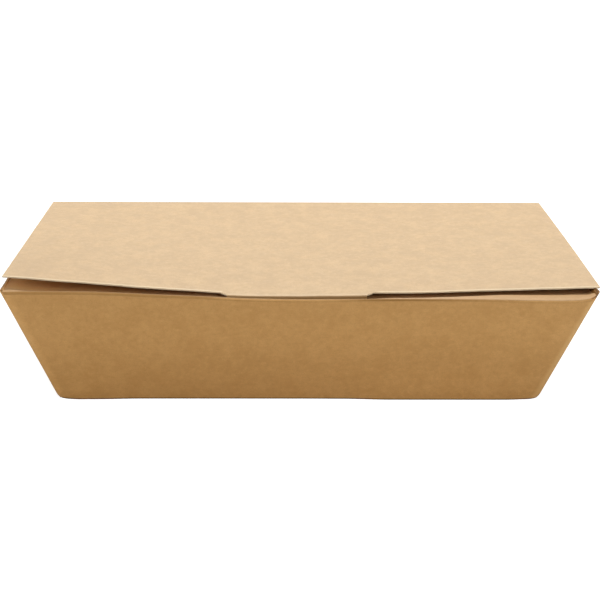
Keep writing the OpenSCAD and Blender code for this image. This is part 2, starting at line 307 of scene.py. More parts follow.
class Carton:
    """Where the folds of the box lie, worked out from its sizes. A depth is measured inward from a
    wall's outer face, and a climb up its slope from the table."""

    def __init__(self, sizes):
        self.sizes = sizes
        self.half_board = sizes.board / 2
        self.lean = math.atan2(sizes.flare, sizes.height)
        self.sin = math.sin(self.lean)
        self.cos = math.cos(self.lean)
        self.tan = math.tan(self.lean)
        self.half_width = sizes.base_width / 2
        self.half_depth = sizes.base_depth / 2
        self.rim_half_width = self.half_width + sizes.flare
        self.rim_half_depth = self.half_depth + sizes.flare
        # For a crease at the rim and a fold at the foot: the radius of the board's middle, the angle
        # that it turns through, and how far from the sharp corner the bend starts
        self.crease = sizes.crease_radius + self.half_board
        self.foot = sizes.foot_radius - self.half_board
        self.crease_turn = math.pi / 2 + self.lean
        self.foot_turn = math.pi / 2 - self.lean
        self.crease_reach = self.crease * math.tan(self.crease_turn / 2)
        self.foot_reach = self.foot * math.tan(self.foot_turn / 2)
        # The web at each corner is folded double, and the end walls stand behind it
        self.web_depth = self.half_board
        self.web_turn = WEB_FOLD * sizes.board
        self.web_back = self.web_depth + 2 * self.web_turn
        self.end_depth = self.web_back + 2 * self.web_turn
        self.corner_turn = math.acos(self.sin**2)
        slope = math.hypot(sizes.height, sizes.flare)
        self.corner_angle = math.atan2(sizes.flare, slope)
        self.web_angle = math.pi / 4 - 2 * self.corner_angle
        self.corner_start = (
            sizes.corner_radius * math.tan(self.corner_turn / 2) / math.cos(self.corner_angle)
        )
        # Middle heights of the layers that close the top
        self.lid_z = sizes.height - self.half_board
        self.front_flap_z = self.lid_z - sizes.board - LID_GAP
        self.end_flap_z = self.front_flap_z - sizes.board - FLAP_GAP
        self.rear_rise = REAR_RISE
        # The hinge is where the middles of the rear wall and the lid would meet
        self.hinge_y = self.half_depth + self.lid_z * self.tan - self.half_board / self.cos
        self.seam_climb = self.climb(self.lid_z - SEAM_DROP, self.half_board)
        # The lid's front edge, where the middles of the lid and its tab would meet, and the sides of
        # the tab's slot as shares of the front wall's half width
        self.lid_edge = sizes.lid_setback - self.rim_half_depth
        self.tab_fold = self.lid_edge - NECK
        half = self.long_half(self.climb(self.front_flap_z, 0))
        self.slot_left = (sizes.tab_offset - sizes.tab_width / 2 - SLOT_SPARE) / half
        self.slot_right = (sizes.tab_offset + sizes.tab_width / 2 + SLOT_SPARE) / half
        # Climbs at which the long walls and the end walls start, past the fold at the foot, and end,
        # short of the crease at the rim
        self.foot_long = (self.half_board - self.half_board * self.sin) / self.cos + self.foot_reach
        self.foot_end = (self.half_board - self.end_depth * self.sin) / self.cos + self.foot_reach
        self.top_long = self.climb(self.front_flap_z, self.half_board) - self.crease_reach
        self.top_end = self.climb(self.end_flap_z, self.end_depth) - self.crease_reach
        # Where the flat of the front flap starts
        self.flap_start = (
            self.half_depth + self.front_flap_z * self.tan - self.half_board / self.cos
        ) - self.crease_reach

    def climb(self, z, depth):
        """The climb at which a layer of a wall has a height."""
        return (z - depth * self.sin) / self.cos

    def long_half(self, climb):
        """Half width of the flat of a long wall."""
        return self.half_width + climb * self.sin - self.corner_start

    def web_places(self, climb):
        """Distances along an end face of the corner's end, the web's fold and the end wall's fold."""
        start = self.half_depth + climb * self.sin - self.corner_start
        fold = (
            self.half_depth
            - climb * math.tan(self.web_angle)
            + (self.web_turn + self.half_board) / math.cos(self.web_angle)
        )
        fold = min(fold, start - WEB_LEAST)
        wall = max(self.half_depth + climb * self.sin - WALL_INSET, fold + WEB_LEAST)
        return start, fold, wall

    def end_half(self, climb):
        """Half width of an end wall."""
        return self.web_places(climb)[2]

    def on_long(self, side, x, climb, depth):
        """A point of the front wall (side -1) or the rear wall (side 1)."""
        y = self.half_depth + climb * self.sin - depth * self.cos
        return Vector((x, side * y, climb * self.cos + depth * self.sin))

    def on_end(self, side, y, climb, depth):
        """A point of the left end wall (side -1) or the right end wall (side 1)."""
        x = self.half_width + climb * self.sin - depth * self.cos
        return Vector((side * x, y, climb * self.cos + depth * self.sin))

    def lid_height(self, x, y):
        """Height of the lid's middle over a place of the box."""
        share = max((self.hinge_y - y) / (self.hinge_y - self.lid_edge), 0.0)
        return self.lid_z + self.rear_rise * (1 - share) + lid_spring(x / MM) * MM * share

    def settle(self, point):
        """Moves a point of a flat panel to where the sprung board lies: the front wall swings out and
        its crease sinks, and the other walls bow a little."""
        x, y, z = point
        rim = x / (self.half_width + z * self.tan) * self.rim_half_width / MM
        sag = crease_sag(rim)
        up = z / self.front_flap_z
        front = ease(SWING_NONE - self.rim_half_depth, SWING_WHOLE - self.rim_half_depth, y)
        if y < 0 and front > 0:
            grown = max(up, 0.0) ** SWING_GROWTH
            belly = math.sin(math.pi * min(up, 1.0)) * SWING_BELLY
            swing = sag * SWING_SHARE / SWING_SHOWS * (grown + belly) * front * MM
            drop = sag * (1 - SWING_SHARE) * grown**2 * front * MM
            y -= swing * self.cos
            z -= swing * self.sin + drop
            y -= foot_bow(x / MM) * MM * ease(FOOT_BOW_HEIGHT, 0, point[2])
        z += self.rear_rise * up * ease(0, REAR_RISE_WHOLE, y)
        # Bow of the end walls and the rear wall, none at their corners, foot and rim
        flared = max(point[2], 0) * self.tan
        bow = WALL_BOW * math.sin(math.pi * min(max(up, 0.0), 1.0))
        at_end = ease(WALL_STARTS, WALL_WHOLE, abs(x) / (self.half_width + flared))
        wave = math.cos(math.pi * y / (END_WAVE * self.rim_half_depth)) ** 2
        x += math.copysign(bow * at_end * wave, x)
        if point[1] > 0:
            at_rear = ease(WALL_STARTS, WALL_WHOLE, y / (self.half_depth + flared))
            y += bow * at_rear * math.cos(math.pi * x / (REAR_WAVE * self.rim_half_width)) ** 2
        # The feet of the four corners are rounded
        pull = FOOT_PULL * max(1 - point[2] / FOOT_PULL_HEIGHT, 0.0) ** 2
        pull *= ease(0.96, 1, abs(point[0]) / self.half_width)
        pull *= ease(0.94, 1, abs(point[1]) / self.half_depth)
        return Vector((x - math.copysign(pull, x), y - math.copysign(pull, y), z))


def fall(x, out):
    """How far the flaps sink at a distance behind the front crease, before they rise to the rear."""
    level = flap_level(x / MM) * MM
    down = 1 - (1 - min(max((out - level) / FALL_LENGTH, 0.0), 1.0)) ** 2
    return flap_fall(x / MM) * MM * down * ease(FALL_NONE, FALL_WHOLE, out)


def flap_half(width, taper, reach, radius, out):
    """Half width of a flap at a distance out from its crease, with its free corners rounded."""
    half = width - taper * out / reach
    past = out - (reach - radius)
    if past > 0:
        half -= radius - math.sqrt(max(radius**2 - past**2, 0.0))
    return half


def corner_columns(carton, side_x, side_y):
    """The columns of board round one corner, from the long wall to the end wall: the rounded corner, the
    outer web, its folded edge, the inner web, and its turn into the end wall. Each is a function of
    climb."""
    c = carton
    radius = c.sizes.corner_radius
    out_long = Vector((0, side_y * c.cos, -c.sin))
    out_end = Vector((side_x * c.cos, 0, -c.sin))

    def corner(share):
        def at(climb):
            rim = c.on_long(side_y, side_x * c.long_half(climb), climb, 0)
            centre = rim - radius * out_long
            turn = c.corner_turn
            way = math.sin((1 - share) * turn) * out_long + math.sin(share * turn) * out_end
            return centre + (radius - c.web_depth) * (way / math.sin(turn))

        return at

    def web(share, back):
        def at(climb):
            start, fold, wall = c.web_places(climb)
            y = fold + (wall - fold) * share if back else start + (fold - start) * share
            return c.on_end(side_x, side_y * y, climb, c.web_back if back else c.web_depth)

        return at

    def turn(share, inner):
        def at(climb):
            start, fold, wall = c.web_places(climb)
            angle = math.pi * share
            out = c.web_turn * math.sin(angle)
            depth = (c.web_back if inner else c.web_depth) + c.web_turn * (1 - math.cos(angle))
            return c.on_end(side_x, side_y * (wall + out if inner else fold - out), climb, depth)

        return at

    columns = [corner(i / CORNER_STRIPS) for i in range(1, CORNER_STRIPS + 1)]
    columns += [web(i / WEB_STRIPS, False) for i in range(1, WEB_STRIPS + 1)]
    columns += [turn(i / FOLD_STRIPS, False) for i in range(1, FOLD_STRIPS + 1)]
    columns += [web(i / INNER_STRIPS, True) for i in range(1, INNER_STRIPS + 1)]
    columns += [turn(i / (TURN_STRIPS + 1), True) for i in range(1, TURN_STRIPS + 1)]
    return columns


def new_sheet():
    """An empty sheet whose points carry marks of its folds and of painted shade and highlights, and whether
    they are a flap's.
    """
    mesh = bmesh.new()
    mesh.verts.layers.float.new("fold")
    mesh.verts.layers.float.new("flap")
    return mesh


def add_grid(mesh, rows, fold=None, flap=None, skip=None, closed=False, turned=False):
    """Adds faces over rows of points, and marks them for folds, painted shade and painted highlights, and
    those of a flap. Turned ones face the other way."""
    folded, turned_in = (mesh.verts.layers.float[name] for name in ("fold", "flap"))
    made = []
    for i in range(len(rows))[::-1] if turned else range(len(rows)):
        line = []
        for j, point in enumerate(rows[i]):
            vert = mesh.verts.new(point)
            vert[folded] = fold(i, j) if fold else 0.0
            vert[turned_in] = flap(i, j) if flap else 0.0
            line.append(vert)
        made.append(line)
    for i in range(len(made) - 1):
        count = len(made[i])
        for j in range(count if closed else count - 1):
            if skip and skip(i, j):
                continue
            k = (j + 1) % count
            mesh.faces.new((made[i][j], made[i][k], made[i + 1][k], made[i + 1][j]))


def crease_shade_and_highlight(degrees, place):
    """The front crease is bare in its middle. At the left it is pale on its flap side, for wear and as a
    painted highlight, and painted dark toward the wall as shade. At the right it is a painted dark line of
    shade that fades toward the corner. Degrees count from the flap."""
    right = ease(0.05, 0.3, place) * (1.25 - 1.1 * ease(0.3, 0.95, place))
    left = ease(-0.2, -0.34, place)
    return (0.3 - 1.05 * ease(15, 50, degrees)) * left - ease(25, 60, degrees) * right


def wall_mark(climb, place):
    """The front wall is darker under its crease and toward its top, partly pressed and partly painted shade.
    It is painted darker toward its foot and at the left as shade, and painted pale along both ends as a
    highlight where it rounds into its corners. The climb here is a share of the wall's."""
    if climb == 0:
        return FOOT_SHADE
    if climb == 1:
        return crease_shade_and_highlight(90, place)
    left = ease(0.3, -0.9, place)
    pressed_and_shaded = (0.2 + 0.35 * left) * (climb > 0.985) + 0.13 * ease(0.6, 1.0, climb)
    # Painted shade: darker toward the foot, and at the left
    darkened = ease(0.5, 0, climb) * (0.04 + 0.16 * left) + 0.14 * left
    # Painted highlight along both ends of the wall
    highlight_and_wear = (0.65 - 0.3 * left) * ease(0.97, 0.99, abs(place))
    return highlight_and_wear * ease(1, 0.97, climb) - pressed_and_shaded - darkened


def fold_walls(carton, mesh, across, along):
    """The walls and the corners, as one closed ring of columns from the foot to the rim."""
    c = carton
    climbs = spread(0.0, (0.006, 1), (0.06, 3), (0.9, 18), (0.97, 4), (1.0, 6))

    def ear(side_x, side_y=-1):
        """Climb of a corner's tip, which stands up more at the front right."""
        return c.climb(c.lid_z + EAR_RISE * (side_x > 0 > side_y), c.half_board)

    def web_top(side_x, side_y):
        """Climb of a corner web's top, which is higher in front, most of all under the sprung lid."""
        low = 0.7 if side_y > 0 else 0.2 if side_x > 0 else 0.1
        return c.climb(c.lid_z - low * MM, c.half_board)

    def long_wall(side, share):
        def at(climb):
            return c.on_long(side, share * c.long_half(climb), climb, c.half_board)

        if side > 0:
            return at, c.foot_long, c.seam_climb
        raised = ease(1 - c.sizes.ear / c.long_half(c.top_long), 1.0, abs(share))
        return at, c.foot_long, c.top_long + (ear(share) - c.top_long) * raised

    def end_wall(side, share):
        def at(climb):
            return c.on_end(side, share * c.end_half(climb), climb, c.end_depth)

        return at, c.foot_end, c.top_end

    def corner(side_x, side_y):
        listed = []
        for number, at in enumerate(corner_columns(c, side_x, side_y)):
            low, high = c.foot_long, ear(side_x, side_y)
            if number >= CORNER_STRIPS:
                low = WEB_FOOT
                lowered = ease(CORNER_STRIPS - 1, CORNER_STRIPS + 3, number)
                high += (web_top(side_x, side_y) - high) * lowered
            elif side_y > 0:
                high = c.seam_climb + (high - c.seam_climb) * (number + 1) / CORNER_STRIPS
            if number >= FIRST_OF_TURN:
                turned = ease(FIRST_OF_TURN, PAST_CORNER, number)
                low += (c.foot_end - low) * turned
                high += (c.top_end - high) * turned
            listed.append((at, low, high))
        return listed

    ring = [long_wall(-1, s) for s in across]
    ring += corner(1, -1)
    ring += [end_wall(1, s) for s in along]
    ring += corner(1, 1)[::-1]
    ring += [long_wall(1, s) for s in across[::-1]]
    ring += corner(-1, 1)
    ring += [end_wall(-1, s) for s in along[::-1]]
    ring += corner(-1, -1)[::-1]

    def strip(column):
        """Number of a column's strip in a front corner, counted from the front wall."""
        return min(column - len(across), len(ring) - 1 - column)

    def on_left(column):
        """True in the left front corner and the first two columns of the end wall behind it."""
        return column >= len(ring) - (PAST_CORNER + 2)

    def web_mark(climb, column):
        """The tops of the two front webs are painted dark as shade. The left one's inner layer is painted
        pale as a highlight, and the right one's is painted near black as the shade under the lid."""
        number = strip(column)
        if climb == 0:
            return FOOT_SHADE * (number >= PAST_CORNER)
        shaded = number >= CORNER_STRIPS // 2
        near_top = ease(0.9, 0.97, climb)
        if on_left(column):
            return (0.6 if number >= FIRST_OF_FOLD else -1.2 * shaded) * near_top
        if number < FIRST_OF_FOLD:
            return -1.7 * shaded * ease(0.95, 0.985, climb)
        return -1.65 * (number < PAST_CORNER - 1) * near_top

    def mark(i, j):
        return wall_mark(climbs[i], across[j]) if j < len(across) else web_mark(climbs[i], j)

    # The left front web's inner layer takes the flaps' colour, which makes its cut edges paler, as part of
    # the painted highlight there
    def lit_inner_layer(i, j):
        return float(on_left(j) and strip(j) >= FIRST_OF_FOLD)

    rows = [
        [c.settle(at(low + (high - low) * share)) for at, low, high in ring] for share in climbs
    ]
    add_grid(mesh, rows, fold=mark, flap=lit_inner_layer, closed=True)


def fold_base(carton, mesh, across, along):
    """The base and its four folds, which are darker where they leave the base and painted dark beyond as
    shade at the foot.
    """
    c = carton
    base_y = c.half_depth + c.half_board * c.tan - c.half_board / c.cos - c.foot_reach
    base_x = c.half_width + c.half_board * c.tan - c.end_depth / c.cos - c.foot_reach
    rows = [
        [c.settle(Vector((x * base_x, y * base_y, c.half_board))) for x in across] for y in along
    ]

    def border_mark(i, j):
        return FOOT_DARKENING * (i in (0, len(along) - 1) or j in (0, len(across) - 1))

    def fold_mark(i, j):
        return FOOT_SHADE if i else FOOT_DARKENING

    add_grid(mesh, rows, fold=border_mark, turned=True)
    for side in (-1, 1):
        long_rows, end_rows = [], []
        for number in range(FOOT_STEPS + 1):
            share = number / FOOT_STEPS
            angle = c.foot_turn * number / FOOT_STEPS
            out = c.foot * math.sin(angle)
            z = c.half_board + c.foot * (1 - math.cos(angle))
            half = base_x + (c.long_half(c.foot_long) - base_x) * share
            long_rows.append([c.settle(Vector((s * half, side * (base_y + out), z))) for s in across])
            half = base_y + (c.end_half(c.foot_end) - base_y) * share
            end_rows.append([c.settle(Vector((side * (base_x + out), s * half, z))) for s in along])
        add_grid(mesh, long_rows, fold=fold_mark, turned=side > 0)
        add_grid(mesh, end_rows, fold=fold_mark, turned=side < 0)


def crease_turns(carton):
    """Angles of the steps of a crease at the rim, from the wall to the flap, where it has come to 0."""
    return [carton.crease_turn * i / CREASE_STEPS for i in range(CREASE_STEPS, -1, -1)]


def fold_front_flap(carton, mesh, across):
    """The front crease and the front flap with its slot, under the lid."""
    c = carton
    turns = crease_turns(c)
    slot_front, slot_rear = 1.2 * MM, 6.5 * MM
    spare_whole, spare_none = 16 * MM, 24 * MM
    reach = c.sizes.front_flap - c.crease_reach
    corner = reach - c.sizes.flap_corner
    half = c.long_half(c.top_long)
    rows = []
    for angle in turns:
        y = -c.flap_start - c.crease * math.sin(angle)
        z = c.front_flap_z - c.crease * (1 - math.cos(angle))
        wide = half + FLAP_SPARE * (1 - angle / c.crease_turn)
        rows.append([(s * wide, y, z, 0.0) for s in across])
    outs = spread(
        0.0, (slot_front, 2), (slot_rear, 5), (corner, 10), (reach - FLAP_LIP, 4), (reach, 5)
    )
    for out in outs[1:]:
        wide = flap_half(half, FRONT_FLAP_TAPER, reach, c.sizes.flap_corner, out)
        wide += (half + FLAP_SPARE - wide) * ease(spare_none, spare_whole, out)
        rows.append([(s * wide, out - c.flap_start, c.front_flap_z, out) for s in across])
    slot_rows = range(CREASE_STEPS + outs.index(slot_front), CREASE_STEPS + outs.index(slot_rear))

    def under_lid(point):
        """Lays a flap's point where the settled crease carries it, but clear under the lid."""
        x, y, z, out = point
        moved = c.settle(Vector((x, y, z)))
        moved.z -= fall(x, out)
        highest = c.lid_height(x, moved.y) - c.sizes.board - FRONT_FLAP_CLEAR
        if out > 0 and moved.z > highest:
            moved.z += (highest - moved.z) * ease(0, 3 * MM, out)
        return moved

    def lit_patch(i, j):
        """Share of the painted pool of light at the left, where light reaches in under the raised lid."""
        out = rows[i][0][3]
        behind = ease(3 * MM, 5 * MM, out) * ease(30 * MM, 18 * MM, out)
        return ease(-0.4, -0.9, across[j]) * behind

    def mark(i, j):
        """The crease, and behind it a flap painted dark as shade just behind the crease, and painted pale at
        the left as a pool of light.
        """
        if i <= CREASE_STEPS:
            return crease_shade_and_highlight(math.degrees(turns[i]), across[j])
        shaded = ease(5.5 * MM, 1.6 * MM, rows[i][0][3]) * ease(0.35, 0.1, across[j])
        return 1.15 * lit_patch(i, j) - 0.25 * shaded

    def own_colour(i, j):
        """Share of the flap's own colour, which starts halfway round the crease and is less in the painted
        pool of light at the left.
        """
        return (i >= CREASE_STEPS // 2) * (1 - 0.75 * lit_patch(i, j))

    def in_slot(i, j):
        return i in slot_rows and c.slot_left - 1e-6 <= across[j] < c.slot_right - 1e-6

    add_grid(
        mesh,
        [[under_lid(point) for point in row] for row in rows],
        fold=mark,
        flap=own_colour,
        skip=in_slot,
    )


def fold_end_flaps(carton, mesh, along):
    """The end flaps, folded in below the front flap. Their creases are worn pale, but dark in the shade
    of the lid's right corner."""
    c = carton
    start = c.half_width + c.end_flap_z * c.tan - c.end_depth / c.cos - c.crease_reach
    reach = c.sizes.end_flap - c.crease_reach
    half = c.end_half(c.top_end)
    outs = spread(0.0, (reach - c.sizes.flap_corner, 12), (reach - FLAP_LIP, 4), (reach, 5))
    for side in (-1, 1):
        rows = []
        for angle in crease_turns(c):
            x = side * (start + c.crease * math.sin(angle))
            z = c.end_flap_z - c.crease * (1 - math.cos(angle))
            rows.append([c.settle(Vector((x, s * half, z))) for s in along])
        for out in outs[1:]:
            wide = flap_half(half, END_FLAP_TAPER, reach, c.sizes.flap_corner, out)
            eased = ease(0, 8 * MM, out)
            line = []
            for s in along:
                x, y = side * (start - out), s * wide
                highest = c.lid_height(x, y) - 2 * c.sizes.board - END_FLAP_CLEAR
                moved = c.settle(Vector((x, y, c.end_flap_z)))
                moved.z -= fall(x, y + c.flap_start) * eased
                moved.y = y
                if highest < moved.z:
                    moved.z += (highest - moved.z) * eased
                line.append(moved)
            rows.append(line)

        def mark(i, j, side=side):
            if i > CREASE_STEPS + 2:
                return 0.0
            return 0.3 - 1.6 * (side > 0) * ease(-0.75, -0.9, along[j])

        add_grid(mesh, rows, fold=mark, flap=lambda i, j: 1.0, turned=side < 0)


def fold_tray(carton):
    """The sheet of the tray: walls and corners, base, front flap and end flaps."""
    mesh = new_sheet()
    slot = (carton.slot_left, 24), (carton.slot_right, 20)
    across = spread(-1.0, (-0.99, 4), (-0.9, 8), *slot, (0.88, 22), (0.96, 10), (0.99, 8), (1.0, 6))
    along = spread(-1.0, (-0.9, 4), (0.9, 24), (1.0, 4))
    fold_walls(carton, mesh, across, along)
    fold_base(carton, mesh, across, along)
    fold_front_flap(carton, mesh, across)
    fold_end_flaps(carton, mesh, along)
    bmesh.ops.remove_doubles(mesh, verts=mesh.verts, dist=0.02 * MM)
    return mesh


def cut_lid_blank(carton):
    """The lid's flat blank, laid out from its seam with the rear wall (Y 0) forward along -Y: a strip of
    wall, the crease, the panel, the neck and the tab with its rounded corners."""
    c = carton
    mesh = new_sheet()
    strip = SEAM_DROP / c.cos - c.crease_reach
    arc = c.crease * c.crease_turn
    crease_end = strip + arc
    front = crease_end + (c.hinge_y - c.crease_reach - c.lid_edge)
    tab_start = front + (c.lid_edge - (c.tab_fold + c.crease_reach))
    tip = tab_start + arc + c.sizes.tab_length - c.crease_reach
    corner, tab_corner, highlit_edge = 0.6 * MM, 5 * MM, 1.4 * MM
    centre = c.sizes.tab_offset
    half_tab = c.sizes.tab_width / 2
    shoulder, shoulder_length = 2.4 * MM, 3.6 * MM
    inner = half_tab + shoulder
    # The lid stands in a little from the rim, but at its right it is wider, most of all in front
    side_gap, spare_rear, spare_front = 0.3 * MM, 0.45 * MM, 1.6 * MM
    wide = c.rim_half_width - side_gap
    seam = c.long_half(c.seam_climb)
    in_tab = spread(-1.0, (-0.8, 6), (0.8, 24), (1.0, 6))
    beside = spread(0.0, (0.93, 26), (1.0, 8))
    near_front = (front - 4 * MM, 44), (front - corner, 7), (front, 6)
    outs = spread(0.0, (strip, 2), (crease_end, 8), (crease_end + 4 * MM, 4), *near_front)
    tab_outs = spread(front, (tab_start, 4), (tab_start + arc, 8), (tip - tab_corner, 4), (tip, 8))

    def crease_shade(out):
        """The hinge crease is a little darker, the tab's crease is painted dark as shade below its fold, and
        the neck before it is painted pale as a highlight.
        """
        if out <= front:
            past_crease = ease(crease_end + 2 * MM, crease_end, out)
            return -0.5 * ease(strip - 0.5 * MM, strip, out) * past_crease
        return 0.3 * ease(front, tab_start, out) - 1.3 * ease(tab_start, tab_start + 0.5 * arc, out)

    def rounded(half, radius, past):
        """Half width where a rounded corner of a radius started a distance before."""
        return half - (radius - math.sqrt(max(radius**2 - past**2, 0.0))) if past > 0 else half

    rows = []
    for out in outs:
        grown = ease(0.3 * strip, strip + 0.3 * arc, out)
        edge = rounded(seam + (wide - seam) * grown, corner, out - (front - corner))
        skew = (spare_front - (spare_front - spare_rear) * (1 - out / front) ** 2) * grown
        left = [-edge + (edge + centre - inner) * (1 - b) for b in beside[::-1]]
        middle = [centre + s * inner for s in in_tab]
        right = [centre + inner + (edge + skew - centre - inner) * b for b in beside]
        rows.append([Vector((x, -out, 0)) for x in left[:-1] + middle + right[1:]])
    last = len(rows[0]) - len(beside)

    def lid_mark(i, j):
        """The front edge is painted pale beside the tab as a highlight, and the left front is a little
        darker.
        """
        if outs[i] > front - highlit_edge and not len(beside) <= j <= last:
            return 1.0
        place = rows[i][j]
        darkened = 0.12 * ease(-0.5, -0.95, place.x / wide) * ease(0.35, 0.9, -place.y / front)
        return crease_shade(outs[i]) - darkened

    add_grid(mesh, rows, fold=lid_mark, turned=True)
    tab_rows = []
    for out in tab_outs:
        half = half_tab + shoulder * ease(front + shoulder_length, front, out)
        half = rounded(half, tab_corner, out - (tip - tab_corner))
        tab_rows.append([Vector((centre + s * half, -out, 0)) for s in in_tab])
    add_grid(mesh, tab_rows, fold=lambda i, j: crease_shade(tab_outs[i]), turned=True)
    bmesh.ops.remove_doubles(mesh, verts=mesh.verts, dist=0.004 * MM)
    return mesh


def node(tree, kind, inputs=None, **settings):
    """Adds a node, with its settings and its inputs, each a value or a socket to join."""
    made = tree.nodes.new(kind)
    for name, value in settings.items():
        setattr(made, name, value)
    for name, value in (inputs or {}).items():
        if isinstance(value, bpy.types.NodeSocket):
            tree.links.new(value, made.inputs[name])
        else:
            made.inputs[name].default_value = value
    return made


def maths(tree, operation, a, b=0.0, c=None):
    """One step of arithmetic on values or sockets."""
    inputs = {0: a, 1: b} if c is None else {0: a, 1: b, 2: c}
    return node(tree, "ShaderNodeMath", inputs, operation=operation).outputs[0]


def new_tree(name, sockets):
    """A Geometry Nodes tree that takes and gives geometry, with named inputs."""
    tree = bpy.data.node_groups.new(name, "GeometryNodeTree")
    tree.interface.new_socket("Geometry", in_out="INPUT", socket_type="NodeSocketGeometry")
    for label, kind in sockets:
        tree.interface.new_socket(label, in_out="INPUT", socket_type=kind)
    tree.interface.new_socket("Geometry", in_out="OUTPUT", socket_type="NodeSocketGeometry")
    return tree


BOARD_SOCKETS = (
    ("Board", "NodeSocketFloat"),
    ("Outside", "NodeSocketMaterial"),
    ("Inside", "NodeSocketMaterial"),
    ("Cut edge", "NodeSocketMaterial"),
)


def add_board(tree, given, sheet):
    """Gives a sheet the thickness of its board, half to each side, with its outside, inside and cut
    edges, and ends the tree."""
    normal = node(tree, "GeometryNodeInputNormal").outputs[0]
    half = maths(tree, "MULTIPLY", given["Board"], -0.5)
    down = node(tree, "ShaderNodeVectorMath", {0: normal, "Scale": half}, operation="SCALE").outputs[0]
    inner = node(tree, "GeometryNodeSetPosition", {"Geometry": sheet, "Offset": down}).outputs[0]
    grown = node(
        tree,
        "GeometryNodeExtrudeMesh",
        {"Mesh": inner, "Offset Scale": given["Board"], "Individual": False},
        mode="FACES",
    )
    turned = node(tree, "GeometryNodeFlipFaces", {"Mesh": inner}).outputs[0]
    joined = tree.nodes.new("GeometryNodeJoinGeometry")
    tree.links.new(grown.outputs["Mesh"], joined.inputs[0])
    tree.links.new(turned, joined.inputs[0])
    whole = node(
        tree, "GeometryNodeMergeByDistance", {"Geometry": joined.outputs[0], "Distance": 0.002 * MM}
    ).outputs[0]
    board = node(tree, "GeometryNodeRealizeInstances", {"Geometry": whole}).outputs[0]
    faces = {"Inside": True, "Outside": grown.outputs["Top"], "Cut edge": grown.outputs["Side"]}
    for label, chosen in faces.items():
        board = node(
            tree,
            "GeometryNodeSetMaterial",
            {"Geometry": board, "Selection": chosen, "Material": given[label]},
        ).outputs[0]
    node(tree, "NodeGroupOutput", {"Geometry": board})
    return tree


def board_tree():
    """Makes board of the tray's folded sheet."""
    tree = new_tree("Board from its middle sheet", BOARD_SOCKETS)
    given = tree.nodes.new("NodeGroupInput").outputs
    return add_board(tree, given, given["Geometry"])


def lid_tree():
    """Folds the lid's flat blank along its section, from the rear wall over the crease to the tab, springs
    its front edge up by the given line, and gives it its board."""
    section_corners = ("Seam", "Hinge", "Tab crease", "Tab end")
    measures = ("Crease radius", "Half width", "Spring span", "Spring low", "Spring depth", "Ripple")
    sockets = [(name, "NodeSocketVector") for name in section_corners]
    sockets += [(name, "NodeSocketFloat") for name in measures]
    tree = new_tree("Sprung lid", (*sockets, *BOARD_SOCKETS))
    given = tree.nodes.new("NodeGroupInput").outputs

    # The section: four corners, joined and filleted at the two creases
    count = len(section_corners)
    line = node(tree, "GeometryNodeMeshLine", {"Count": count}).outputs[0]
    index = node(tree, "GeometryNodeInputIndex").outputs[0]
    pick = tree.nodes.new("GeometryNodeIndexSwitch")
    pick.data_type = "VECTOR"
    while len(pick.index_switch_items) < count:
        pick.index_switch_items.new()
    tree.links.new(index, pick.inputs[0])
    for number, name in enumerate(section_corners):
        tree.links.new(given[name], pick.inputs[number + 1])
    corners = node(
        tree, "GeometryNodeSetPosition", {"Geometry": line, "Position": pick.outputs[0]}
    ).outputs[0]
    path = node(tree, "GeometryNodeMeshToCurve", {0: corners}).outputs[0]
    section = node(
        tree,
        "GeometryNodeFilletCurve",
        {"Curve": path, "Count": 12, "Radius": given["Crease radius"]},
        mode="POLY",
    ).outputs[0]

    place = node(tree, "GeometryNodeInputPosition").outputs[0]
    flat = node(tree, "ShaderNodeSeparateXYZ", {0: place}).outputs
    way = maths(tree, "MULTIPLY", flat["Y"], -1.0)
    sampled = node(
        tree, "GeometryNodeSampleCurve", {"Curves": section, "Length": way}, mode="LENGTH"
    )
    folded = node(tree, "ShaderNodeSeparateXYZ", {0: sampled.outputs["Position"]}).outputs

    # The spring: a share of the front edge's height, straight down to nothing at the hinge
    across = maths(
        tree,
        "DIVIDE",
        maths(tree, "ADD", flat["X"], given["Half width"]),
        maths(tree, "MULTIPLY", given["Half width"], 2.0),
    )
    curve = node(tree, "ShaderNodeFloatCurve", {"Value": across})
    set_spring_line(curve)
    height = maths(
        tree, "MULTIPLY_ADD", curve.outputs[0], given["Spring span"], given["Spring low"]
    )
    hinge = node(tree, "ShaderNodeSeparateXYZ", {0: given["Hinge"]}).outputs
    share = maths(
        tree,
        "MAXIMUM",
        maths(
            tree, "DIVIDE", maths(tree, "SUBTRACT", hinge["Y"], folded["Y"]), given["Spring depth"]
        ),
        0.0,
    )
    ripple = node(tree, "ShaderNodeTexNoise", {"Vector": place, "Scale": 95.0, "Detail": 1.0}).outputs[0]
    wave = maths(tree, "MULTIPLY", maths(tree, "SUBTRACT", ripple, 0.5), given["Ripple"])
    lift = maths(tree, "MULTIPLY", maths(tree, "ADD", height, wave), share)
    at = node(
        tree,
        "ShaderNodeCombineXYZ",
        {"X": flat["X"], "Y": folded["Y"], "Z": maths(tree, "ADD", folded["Z"], lift)},
    ).outputs[0]
    sheet = node(
        tree, "GeometryNodeSetPosition", {"Geometry": given["Geometry"], "Position": at}
    ).outputs[0]
    return add_board(tree, given, sheet)


def set_spring_line(curve):
    """Draws the lid's spring line on a curve node, from 0 to 1 both ways."""
    line = curve.mapping.curves[0]
    first, last = LID_SPRING[0][0], LID_SPRING[-1][0]
    spots = [
        ((x - first) / (last - first), (y - SPRING_LOW) / (SPRING_HIGH - SPRING_LOW))
        for x, y in LID_SPRING
    ]
    line.points[0].location = spots[0]
    line.points[1].location = spots[-1]
    for spot in spots[1:-1]:
        line.points.new(*spot)
    for point in line.points:
        point.handle_type = "AUTO"
    curve.mapping.update()


